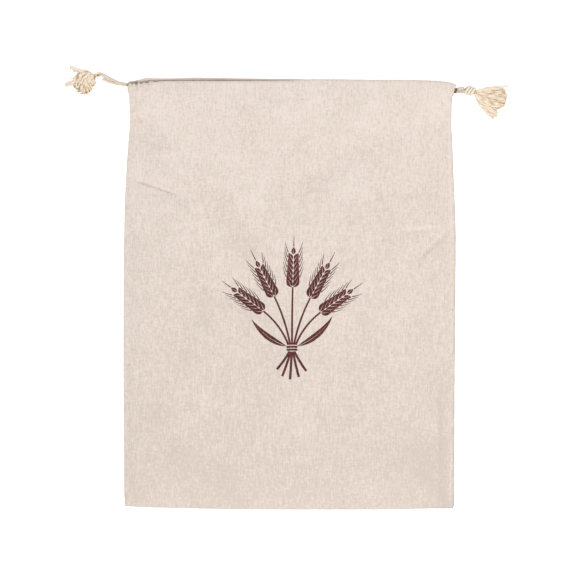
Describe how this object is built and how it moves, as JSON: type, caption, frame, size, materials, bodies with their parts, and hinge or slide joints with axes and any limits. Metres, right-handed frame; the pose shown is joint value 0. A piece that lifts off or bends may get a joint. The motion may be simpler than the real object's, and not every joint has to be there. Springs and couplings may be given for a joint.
{
  "type": "linen drawstring bread bag",
  "caption": "Flat-lying drawstring bag of undyed linen with hemmed casings, twisted cotton drawstrings and a knotted tassel at each side of its mouth.",
  "frame": {"origin": "on the surface that the bag lies on, under the middle of the bag's cloth", "axes": "+Z away from that surface, +Y along the bag from its bottom fold to its mouth, +X to the right of someone who looks down at it with the mouth at the top"},
  "size_m": [0.4088, 0.4094, 0.017],
  "materials": {
    "linen": "plain weave with slubs",
    "cotton_cord": "matte twisted cord",
    "cotton_yarn": "matte soft yarn"
  },
  "bodies": {
    "root": {"bag_body": "linen", "drawstring_left": "cotton_cord", "drawstring_right": "cotton_cord", "tassel_left": "cotton_yarn", "tassel_right": "cotton_yarn"}
  },
  "joints": []
}
